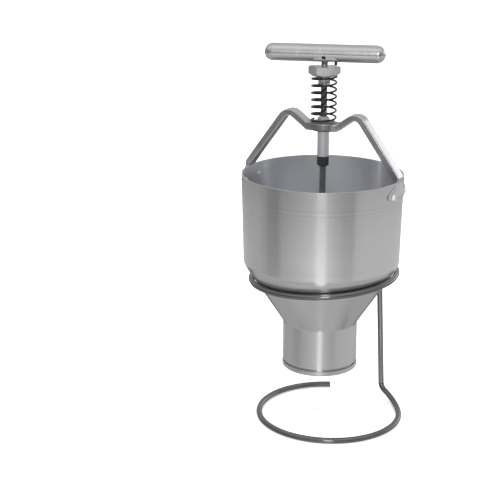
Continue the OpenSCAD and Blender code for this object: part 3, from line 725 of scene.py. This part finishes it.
def support_ring(s, f):
    """Start, outward direction and heading of the support ring, which lies on the funnel's cone.

    Where a plane of slope t cuts a cone of slope k, the curve is nearly a circle, and its centre stands off
    the axis by about k t times its radius, towards the higher side.
    """
    slope = cone_slope(f)
    lean = slope * math.tan(s.ring_tilt)
    axis_r = s.ring * math.cos(s.ring_tilt) * (1 - lean ** 2)
    axis_z = f.cone_low + (axis_r - f.skirt - (s.rod / 2 + s.seat_gap) * math.hypot(1, slope)) / slope
    off = axis_r * lean / (1 - lean ** 2)
    middle = off * out(s.ring_rise) + (axis_z + off * math.tan(s.ring_tilt)) * UP
    steep = math.cos(s.ring_tilt) * out(s.ring_rise) + math.sin(s.ring_tilt) * UP
    level = np.cross(UP, out(s.ring_rise))
    turn = s.ring_start - s.ring_rise
    outward = math.cos(turn) * steep + math.sin(turn) * level
    heading = math.sin(turn) * steep - math.cos(turn) * level
    return middle + s.ring * outward, outward, heading


def stand_grid(s, f):
    """The bent rod in one sweep: base ring, climbing bend, corner, post, corner and support ring."""
    def corner_bend(corner, heading, onward):
        turn = math.acos(float(heading @ onward))
        side = unit(onward - (heading @ onward) * heading)
        radius = s.corner / math.tan(turn / 2)
        return bend(corner - s.corner * heading, heading, side, radius, turn, steps=18)

    base = s.base_offset * out(s.base_offset_turn) + s.base_height * UP
    first = out(s.free_end)
    turn = s.climb_start + FULL_TURN - s.free_end
    base_run = bend(base + s.base_ring * first, np.cross(UP, first), -first, s.base_ring, turn, steps=170)
    lift = -out(s.climb_start) * math.cos(s.climb_tilt) + UP * math.sin(s.climb_tilt)
    climb = bend(base_run[0][-1], base_run[1][-1], lift, s.base_ring, s.climb_turn, steps=26)
    low = climb[0][-1] + s.corner * climb[1][-1]
    ring_point, ring_out, ring_heading = support_ring(s, f)
    high = ring_point - s.corner * ring_heading
    post = unit(high - low)
    straight = stretch(low + s.corner * post, high - s.corner * post, steps=13)[:-1]
    runs = [
        base_run, climb, corner_bend(low, climb[1][-1], post),
        (straight, np.repeat(post[None], len(straight), 0)), corner_bend(high, post, ring_heading),
        bend(ring_point, ring_heading, -ring_out, s.ring, s.ring_turn, steps=220),
    ]
    path, headings = (np.concatenate(parts) for parts in zip(*runs))
    keep = np.diff(run_along(path), prepend=-1.0) > 1e-6
    path, headings = path[keep], headings[keep]
    return rod_grid(path, headings, unit(path * [1, 1, 0]), s.rod / 2, sides=30, chamfer=0.5 * MM)


def funnel_grid(f):
    """The funnel's wall turned round Z: skirt, cone, shoulder and upper wall, outside and inside.

    The inside is the outside moved in by the wall's thickness, square to each stretch. All edges are soft.
    """
    skirt_edge, rim_edge = 0.4 * MM, 0.3 * MM
    slope, flare = cone_slope(f), wall_flare(f)
    cone_shift = f.wall * math.hypot(1, slope)
    neck_drop = (cone_shift - f.wall) / slope
    drop = (f.wall - cone_shift) / (slope - flare)
    outline = [
        (f.skirt, f.skirt_low), (f.skirt, f.cone_low), (f.shoulder, f.shoulder_high), (f.rim, f.rim_high),
        (f.rim - f.wall, f.rim_high), (f.shoulder - f.wall - flare * drop, f.shoulder_high - drop),
        (f.skirt - f.wall, f.cone_low + neck_drop), (f.skirt - f.wall, f.skirt_low),
    ]
    radii = [skirt_edge, f.neck_fillet, f.shoulder_fillet, rim_edge, rim_edge,
             f.shoulder_fillet - f.wall, f.neck_fillet + f.wall, skirt_edge]
    return turned_grid(filleted(outline, radii, steps=16), segments=256)


def die_grid(f):
    """The die turned round Z: flange with a rounded foot, groove, sealing land, entry cone and bore."""
    edge, foot_edge, mouth_edge, fit = 0.5 * MM, 2.5 * MM, 2.0 * MM, 0.05 * MM
    neck_deep, seal_deep, lip_wide = 2.0 * MM, 2.32 * MM, 0.7 * MM
    low, top, bore_top = f.flange_low, f.flange_low + f.flange_high, f.flange_low + f.bore_high
    neck_high, seal_low, seal_high = top + 3.0 * MM, top + 6.33 * MM, top + 8.67 * MM
    land = f.skirt - f.wall - fit
    neck, seal, entry = land - neck_deep, land - seal_deep, land - lip_wide
    lip = bore_top + entry - f.bore
    outline = [
        (f.bore, low), (f.flange, low), (f.flange, top), (neck, top), (neck, neck_high), (land, neck_high),
        (land, seal_low), (seal, seal_low), (seal, seal_high), (land, seal_high), (land, lip), (entry, lip),
        (f.bore, bore_top),
    ]
    radii = [edge, foot_edge, edge] + [0.0] * 9 + [mouth_edge]
    return turned_grid(filleted(outline, radii, steps=12), segments=200)


def edge_line(y, level, rise, foot, fall, radii):
    """An edge of a yoke's arm: level from its root, up from its turn, over a peak and down to its foot.

    The peak's corner is where the line through the turn along rise meets the line through the foot along
    fall. Each half, before and after the highest point, is spread over an equal number of points.
    """
    half_points = 56
    root, turn = np.array([[y.root_out, level], [y.turn_out, level]])
    reach = np.linalg.solve(np.stack([rise, fall], 1), foot - turn)
    line = filleted([root, turn, turn + reach[0] * rise, foot], [0.0, *radii, 0.0], steps=24)
    top = int(np.argmax(line[:, 1]))
    halves = []
    for half in (line[:top + 1], line[top:]):
        run = run_along(half)
        at = np.linspace(0, run[-1], half_points)
        halves.append(np.stack([np.interp(at, run, half[:, axis]) for axis in (0, 1)], 1))
    return np.concatenate([halves[0], halves[1][1:]])


def arm_edges(y, f):
    """The outer and the inner edge of an arm in the yoke's plane, station by station, as (x, z).

    Over the rim they run straight on from their edge lines, and a weighted mean of nine stations rounds the
    outer one's knee. Below the rim they follow the wall's flare down to the ear's lowest point.
    """
    peak = np.array([y.peak_out, y.boss_high + y.peak_up])
    foot = np.array([f.rim - y.foot_in, f.rim_high + y.foot_up])
    fall = unit(foot - peak)
    rise = np.array([math.cos(y.climb), math.sin(y.climb)])
    outward = np.array([-fall[1], fall[0]]) * y.arm_deep / 2
    turn_bend, turn_hollow = 5.0 * MM, 2.0 * MM
    arm_top, arm_low = y.boss_high - y.turn_drop, y.boss_high - y.boss_deep
    outer = edge_line(y, arm_top, rise, foot + outward, fall, [turn_bend, y.peak_bend])
    inner = edge_line(y, arm_low, rise, foot - outward, fall, [turn_hollow, y.peak_hollow])
    seat = f.rim_high + y.seat_gap
    in_rim = f.rim + y.wall_gap
    out_rim = in_rim + y.ear_thick
    knee = outer[-1] + fall * (out_rim - outer[-1, 0]) / fall[0]
    heel = inner[-1] + fall * (seat - inner[-1, 1]) / fall[1]
    shelf = np.array([out_rim, seat])
    outer = np.concatenate([outer, stretch(outer[-1], knee, 15), stretch(knee, shelf, 15)])
    inner = np.concatenate([inner, stretch(inner[-1], heel, 30)])
    kernel = np.array([1, 3, 6, 8, 9, 8, 6, 3, 1]) / 45.0
    for axis in (0, 1):
        outer[-36:-4, axis] = np.convolve(outer[-40:, axis], kernel, "valid")
    low = f.rim_high - y.ear_drop
    belly_top = f.rim_high - y.tip_drop - y.tip
    belly_z = low + (belly_top - low) * np.linspace(1, 0, 40)[1:] ** 2
    ear_z = np.concatenate([np.linspace(seat, belly_top, 70), belly_z])
    shift = wall_flare(f) * (f.rim_high - ear_z)
    outer = np.concatenate([outer, np.stack([out_rim - shift, ear_z], 1)])
    inner = np.concatenate([inner, np.stack([in_rim - shift, ear_z], 1)])
    return outer, inner


def arm_half_width(y, f, middle):
    """Half the width of an arm at each station: grown into the boss, even along it, a fishtail at the ear.

    Under its neck the fishtail is a straight flank, then the round tips and at last the arc of its belly.
    """
    root_flare, root_reach, root_blend = 3.0 * MM, 26.0 * MM, 12.0 * MM
    neck_blend, tail_end = 16.0 * MM, 0.3 * MM
    x, z = middle.T
    seat = f.rim_high + y.seat_gap
    low = f.rim_high - y.ear_drop
    tip_y, tip_z = y.ear_half - y.tip, f.rim_high - y.tip_drop
    rise = tip_z - y.tip - low
    belly_r = (tip_y ** 2 + rise ** 2) / (2 * rise)
    belly = np.sqrt(np.maximum(0, belly_r ** 2 - (low + belly_r - z) ** 2))
    tips = tip_y + np.sqrt(np.maximum(0, y.tip ** 2 - (z - tip_z) ** 2))
    flank_y, flank_z = tip_y + y.tip * 0.71, tip_z + y.tip * 0.70
    flank = y.neck_half + (seat - z) * (flank_y - y.neck_half) / (seat - flank_z)
    ear = np.where(z < tip_z - y.tip, belly, np.where(z < flank_z, tips, flank))
    half = y.arm_wide / 2
    arm = half + root_flare * smoothstep((root_reach - x) / root_blend)
    neck = half + (y.neck_half - half) * smoothstep((seat + neck_blend - z) / neck_blend)
    wide = np.where(z < seat + 1e-6, ear, np.where(x > y.peak_out, neck, arm))
    wide[-1] = tail_end
    return wide


def yoke_arm_grid(y, f):
    """One arm of the yoke, from the boss over its peak and down to the foot of its ear.

    The arm's outer and inner edge set each station's middle and half depth. The section is the superellipse
    |x / a|^n + |y / b|^n = 1, with its points drawn towards the corners, and towards the ear it is wrapped
    round the funnel by sqrt(R^2 - y^2) - R.
    """
    plate_blend, squareness = 24.0 * MM, 11.0
    outer, inner = arm_edges(y, f)
    middle = (outer + inner) / 2
    side = unit(outer - inner)
    half_deep = np.linalg.norm(outer - inner, axis=1)[:, None] / 2
    half_wide = arm_half_width(y, f, middle)[:, None]
    x, z = middle[:, :1], middle[:, 1:]
    over_seat = z - f.rim_high - y.seat_gap
    plate = smoothstep((plate_blend - over_seat) / plate_blend) * (x > y.peak_out)
    a = np.linspace(0, FULL_TURN, 97)
    a = a - 0.2 * np.sin(4 * a)
    power = 2.0 / squareness
    deep = half_deep * np.sign(np.cos(a)) * np.abs(np.cos(a)) ** power
    wide = half_wide * np.sign(np.sin(a)) * np.abs(np.sin(a)) ** power
    wrap = plate * (np.sqrt(np.maximum(0, f.rim ** 2 - wide ** 2)) - f.rim)
    return capped(np.stack([x + deep * side[:, :1] + wrap, wide, z + deep * side[:, 1:]], -1))


def boss_grid(y):
    """The boss turned round Z, with soft edges, a finely meshed wall and a hole where the set screw sits."""
    bore_edge, foot_edge, top_edge, clear = 0.4 * MM, 3.4 * MM, 3.0 * MM, 0.1 * MM
    low, high = y.boss_high - y.boss_deep, y.boss_high
    outline = filleted([(y.bore, low), (y.boss, low), (y.boss, high), (y.bore, high)],
                       [bore_edge, foot_edge, top_edge, bore_edge], steps=14)
    wall_z = np.linspace(low + foot_edge + clear, high - top_edge - clear, 40)
    wall = np.stack([np.full(len(wall_z), y.boss), wall_z], 1)
    cut = int(np.argmax(outline[:, 1] > high - top_edge - clear / 2))
    outline = np.concatenate([outline[:cut], wall, outline[cut:]])
    return drilled(turned_grid(outline, segments=360), y.boss, y.screw_turn, (low + high) / 2, y.screw,
                   depth=3.2 * MM, edge=0.35 * MM)


def spring_grid(s):
    """The return spring: (R cos a, R sin a, z) with z rising evenly between level ends.

    Each end levels out along a parabola and goes on straight for one wire diameter.
    """
    t = np.linspace(0, s.turns, int(s.turns * s.rings) + 1)
    risen = np.where(t < s.ease, t ** 2 / (2 * s.ease), t - s.ease / 2)
    risen = np.where(t > s.turns - s.ease, s.turns - s.ease - (s.turns - t) ** 2 / (2 * s.ease), risen)
    pitch = (s.high - s.low - s.wire) / (s.turns - s.ease)
    a = s.start + FULL_TURN * t
    lead = np.stack([np.cos(a), np.sin(a), 0 * a], 1)
    tangent = np.stack([-np.sin(a), np.cos(a), 0 * a], 1)
    path = s.radius * lead + (s.low + s.wire / 2 + pitch * risen)[:, None] * UP
    path = np.concatenate([path[:1] - s.wire * tangent[:1], path, path[-1:] + s.wire * tangent[-1:]])
    lead = np.pad(lead, ((1, 1), (0, 0)), "edge")
    return rod_grid(path, unit(np.gradient(path, axis=0)), lead, s.wire / 2, sides=18, chamfer=0.2 * MM)


def handle_grid(h):
    """The handle bar turned round its own axis, with domed ends and a round hole for the set screw.

    A dome is half an ellipse, (r cos a, d sin a), inside a narrow bevel. The bar is turned about Z, drilled,
    and then laid level along its direction, with its own +X up.
    """
    a = np.linspace(math.pi / 2, 0, 30)
    end = np.stack([(h.radius - h.edge) * np.cos(a), h.long / 2 - h.dome + h.dome * np.sin(a)], 1)
    straight, field = h.long / 2 - h.dome - h.edge, 5.0 * MM
    x = np.concatenate([np.linspace(-straight, -field, 12), np.linspace(-field, field, 44)[1:-1],
                        np.linspace(field, straight, 12)])
    outline = np.concatenate([end * [1, -1], np.stack([np.full(len(x), h.radius), x], 1), end[::-1]])
    grid = turned_grid(outline, segments=240, closed=False)
    grid = drilled(grid, h.radius, math.pi / 2 + h.screw_slope, 0.0, h.screw, depth=3.0 * MM, edge=0.4 * MM)
    up, aside, along = np.moveaxis(grid, -1, 0)
    cos, sin = math.cos(h.turn), math.sin(h.turn)
    return np.stack([along * cos + aside * sin, along * sin - aside * cos, h.high + up], -1)


class DEPOSITOR_OT_stand(Operator):
    """Build the bent rod of the stand"""

    bl_idname = "depositor.stand"
    bl_label = "Stand"

    def execute(self, context):
        settings = context.scene.depositor
        make_piece("stand_bent_rod", [stand_grid(settings.stand, settings.funnel)], "stand",
                   drawn_steel(settings.finish), "stand_rod")
        return {"FINISHED"}


class DEPOSITOR_OT_funnel(Operator):
    """Build the spun funnel and the die in its skirt"""

    bl_idname = "depositor.funnel"
    bl_label = "Funnel and die"

    def execute(self, context):
        settings = context.scene.depositor
        grid = funnel_grid(settings.funnel)
        rim_run = float(run_along(grid[:, 0])[np.argmax(grid[:, 0, 2])])
        make_piece("funnel_wall", [grid], "dispenser", spun_aluminium(settings.finish, rim_run),
                   "hopper")
        make_piece("die_insert", [die_grid(settings.funnel)], "dispenser",
                   turned_aluminium(settings.finish), "nozzle_die")
        dress(seal_rubber(settings.finish), "die_o_ring")
        return {"FINISHED"}


class DEPOSITOR_OT_yoke(Operator):
    """Build the cast yoke and finish its rivets, sleeve, bush and set screw"""

    bl_idname = "depositor.yoke"
    bl_label = "Yoke and guide"

    def execute(self, context):
        settings = context.scene.depositor
        finishes = settings.finish
        arm = yoke_arm_grid(settings.yoke, settings.funnel)
        make_piece("yoke_casting", [arm, arm * [-1, -1, 1], boss_grid(settings.yoke)], "dispenser",
                   cast_aluminium(finishes, settings.yoke.boss), "yoke")
        rivet = turned_aluminium(finishes, name="polished_rivet", rough=0.16, streak=0.0, metal=0.35)
        sleeve = turned_aluminium(finishes, name="satin_sleeve", rough=0.42, streak=0.0, metal=0.65)
        dress(rivet, "yoke_rivets")
        dress(sleeve, "guide_sleeve")
        dress(bright_steel(finishes.bush, name="polished_bush"), "guide_bush")
        dress(blackened_screw_steel(finishes), "sleeve_screw")
        return {"FINISHED"}


class DEPOSITOR_OT_spring(Operator):
    """Build the return spring and finish its washer"""

    bl_idname = "depositor.spring"
    bl_label = "Return spring"

    def execute(self, context):
        settings = context.scene.depositor
        piece = make_piece("return_coil", [spring_grid(settings.spring)], "dispenser",
                           oiled_spring_steel(settings.finish), "return_spring")
        stroke = next(j for j in frame["joints"] if j["name"] == "plunger_stroke")["range_m"][1]
        foot = settings.yoke.boss_high
        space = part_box("spring_washer")[0].z - foot
        (space - stroke) / space
        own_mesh(piece)
        dress(bright_steel(settings.finish.bright), "spring_washer")
        return {"FINISHED"}


class DEPOSITOR_OT_handle(Operator):
    """Build the cross handle and finish its pin, set screw and the portion dial"""

    bl_idname = "depositor.handle"
    bl_label = "Handle and dial"

    def execute(self, context):
        settings = context.scene.depositor
        finishes, h = settings.finish, settings.handle
        bar = turned_aluminium(finishes, name="turned_bar", turn=h.turn, rough=0.19, streak=0.0, cut=0.05)
        dial = turned_aluminium(finishes, name="polished_dial", rough=0.20, streak=0.4, metal=0.92, cut=0.06)
        make_piece("handle_bar", [handle_grid(h)], "plunger", bar, "t_handle",
                   sharp=12.0)
        dress(blackened_screw_steel(finishes), "handle_screw", "index_pin")
        dress(dial, "portion_dial")
        return {"FINISHED"}


class DEPOSITOR_OT_plunger(Operator):
    """Finish the plunger rod, the piston and the stack at the rod's end"""

    bl_idname = "depositor.plunger"
    bl_label = "Plunger"

    def execute(self, context):
        finishes = context.scene.depositor.finish
        dress(bright_steel(finishes.bright), "plunger_rod", "piston_clip", "spacer_tube", "cutter_disc",
              "end_washer", "end_nut")
        dress(turned_plastic(finishes), "metering_piston")
        dress(seal_rubber(finishes), "piston_o_ring")
        return {"FINISHED"}


# The camera: its place, its slope below level and its turn in degrees, and its focal length in pixels
EYE = np.array([0.6607, -1.5266, 0.7375])
EYE_SLOPE = 16.65
EYE_TURN = 27.0
FOCAL_PIXELS = 1351.833
PICTURE_PIXELS = 480
SENSOR = 36.0
TOWARD_EYE = unit(EYE[:2])


def studio_world():
    """A soft studio round the object, in rows of grey panels one above the other.

    Each row is a ramp over the turn from the camera's side. The lowest four light the cone, the nozzle and
    the wall, a dim one lies under the horizon, one with a bright end at the rear right lies over it, and a
    softbox hangs in front of the zenith. A small bright panel over the camera gives the round edges their
    points of light.
    """
    world = bpy.data.worlds.new("studio")
    bpy.context.scene.world = world
    shop = NodeShop(world)
    x, y, z = coordinates(shop, "Generated")
    ahead_x, ahead_y = (float(v) for v in TOWARD_EYE)
    ahead = x * ahead_x + y * ahead_y
    aside = y * ahead_x - x * ahead_y
    turn = shop.node("ShaderNodeMath", {"operation": "ARCTAN2"}, {0: aside, 1: ahead})
    share = turn / FULL_TURN + 0.5
    gain = 6.0

    def panels(value, stops):
        return shop.node("ShaderNodeValToRGB", {"stops": [(at, v / gain) for at, v in stops],
                                                "interpolation": "EASE"}, {0: value})

    def row(*stops):
        return panels(share, [(degrees / 360 + 0.5, v) for degrees, v in stops])

    below = row((-180, .39), (-60, .43), (-10, .47), (-5, .92), (5, .92), (10, .47), (60, .43), (180, .39))
    tuck = row((-180, .14), (-145, .16), (-115, .45), (-60, .50), (-10, .54), (-5, 1.02), (5, 1.02),
               (10, .54), (60, .50), (115, .47), (145, .16), (180, .14))
    nozzle = row((-180, .52), (-126, .46), (-103, .42), (-85, .40), (-69, .46), (-55, .66), (-41, .83),
                 (-28, 1.0), (-15, 1.16), (-8, 1.50), (4, 1.50), (10, 1.24), (22, .94), (34, .75),
                 (48, .70), (62, .68), (114, .58), (180, .54))
    wall = row((-180, .54), (-140, .52), (-118, .53), (-103, .53), (-90, .43), (-78, .25), (-67, .20),
               (-57, .37), (-47, .42), (-37, .44), (-28, .46), (-14, .50), (-6, .46), (3, .46), (8, .46),
               (16, .45), (26, .40), (36, .34), (44, .33), (51, .60), (64, .65), (90, .64), (150, .60),
               (180, .54))
    dim = row((-180, .22), (-140, .20), (-100, .18), (-60, .15), (-30, .17), (0, .19), (30, .18), (45, .20),
              (60, .30), (140, .30), (180, .22))
    over = row((-180, .45), (-165, .50), (-140, .50), (-110, .28), (-70, .20), (-34, .24), (-20, .50),
               (-8, .58), (8, .50), (22, .28), (40, .18), (62, .20), (86, .34), (108, .80), (122, 1.2),
               (140, 1.3), (152, .9), (165, .62), (180, .45))
    softbox = panels(z, [(.30, .50), (.56, .50), (.74, .62), (.88, .82), (.97, .78), (1.0, .62)])
    high = shade(shop, grey(0.5 / gain), softbox, ramp(shop, ahead, -0.35, 0.05))
    level = shade(shop, below, grey(0.53 / gain), ramp(shop, z, -0.86, -0.95))
    for panel, low, full in ((tuck, -0.56, -0.50), (nozzle, -0.43, -0.40), (wall, -0.350, -0.330),
                             (dim, -0.262, -0.238), (over, -0.10, -0.03), (high, 0.24, 0.36)):
        level = shade(shop, level, panel, ramp(shop, z, low, full))
    spot = ramp(shop, abs(turn), 0.12, 0.09) * ramp(shop, z, 0.04, 0.10) * ramp(shop, z, 0.52, 0.46)
    level = shade(shop, level, grey(0.62), spot)
    back = shop.node("ShaderNodeBackground", {}, {"Color": level, "Strength": gain})
    shop.node("ShaderNodeOutputWorld", {}, {"Surface": back})


def floor_grid():
    """A floor that bends up into a backdrop: a line, a quarter circle and a line, swept sideways."""
    front, reach, bend_r, top, wide = -6.0, 2.2, 1.2, 5.0, 5.0
    a = np.linspace(0, math.pi / 2, 24)
    arc = np.stack([reach + bend_r * np.sin(a), bend_r - bend_r * np.cos(a)], 1)
    back = np.concatenate([[[front, 0.0]], arc, [[reach + bend_r, top]]])
    depth, z = back[:, :1], back[:, 1:]
    across = np.linspace(-wide, wide, 9)
    ahead_x, ahead_y = TOWARD_EYE
    x = -ahead_x * depth - ahead_y * across
    y = -ahead_y * depth + ahead_x * across
    return np.stack(np.broadcast_arrays(x, y, z), -1)


def cove_grid():
    """An upright round wall about the stage: (R cos a, R sin a, z)."""
    radius, low, top = 4.8, -0.5, 7.0
    a = np.linspace(0, FULL_TURN, 97)
    z = np.linspace(low, top, 6)[:, None]
    return np.stack(np.broadcast_arrays(radius * np.cos(a), radius * np.sin(a), z), -1)


def stage_sheet(name, grid, material):
    """A sheet of the stage, which reflections pass through."""
    sheet = linked(name, grid_mesh(name, [grid], material))
    sheet.visible_glossy = False
    return sheet


class DEPOSITOR_OT_stage(Operator):
    """Set up the floor, the cove, the soft light and the camera"""

    bl_idname = "depositor.stage"
    bl_label = "Stage"

    def execute(self, context):
        scene = context.scene
        finishes = scene.depositor.finish
        stage_sheet("studio_floor", floor_grid(), floor_paper(finishes))
        cove = stage_sheet("studio_cove", cove_grid(), floor_paper(finishes, name="cove_paper", glow=1.1))
        cove.visible_diffuse = False
        cove.visible_shadow = False
        studio_world()
        light = bpy.data.lights.new("overhead", "AREA")
        light.shape = "RECTANGLE"
        light.size, light.size_y = 2.4, 2.4
        light.energy = 62.0
        lamp = linked("overhead", light)
        lamp.location = (0.2, -0.3, 2.3)
        lamp.visible_glossy = False
        camera = bpy.data.cameras.new("photo_view")
        camera.sensor_width = SENSOR
        camera.lens = SENSOR * FOCAL_PIXELS / PICTURE_PIXELS
        camera.clip_start, camera.clip_end = 0.05, 50.0
        seat = linked("photo_view", camera)
        seat.location = EYE
        seat.rotation_euler = (math.radians(90 - EYE_SLOPE), 0.0, math.radians(EYE_TURN))
        scene.camera = seat
        scene.view_settings.view_transform = "Standard"
        return {"FINISHED"}


class DEPOSITOR_PT_panel(Panel):
    """Lists the pieces of the depositor"""

    bl_idname = "DEPOSITOR_PT_panel"
    bl_label = "Batter depositor"
    bl_space_type = "VIEW_3D"
    bl_region_type = "UI"
    bl_category = "Depositor"

    def draw(self, context):
        for step in STEPS:
            self.layout.operator(step.bl_idname)


STEPS = (DEPOSITOR_OT_stand, DEPOSITOR_OT_funnel, DEPOSITOR_OT_yoke, DEPOSITOR_OT_spring,
         DEPOSITOR_OT_handle, DEPOSITOR_OT_plunger, DEPOSITOR_OT_stage)
GROUPS = (StandSizes, FunnelSizes, YokeSizes, SpringSizes, HandleSizes, FinishColours, DepositorSettings)
CLASSES = GROUPS + STEPS + (DEPOSITOR_PT_panel,)


def register():
    """Register the classes and the scene's settings."""
    for cls in CLASSES:
        bpy.utils.register_class(cls)
    bpy.types.Scene.depositor = PointerProperty(type=DepositorSettings)


def unregister():
    """Remove the scene's settings and the classes."""
    del bpy.types.Scene.depositor
    for cls in reversed(CLASSES):
        bpy.utils.unregister_class(cls)


def main():
    """Build every piece in order."""
    register()
    for step in STEPS:
        group, name = step.bl_idname.split(".")
        getattr(getattr(bpy.ops, group), name)()


if __name__ == "__main__":
    main()
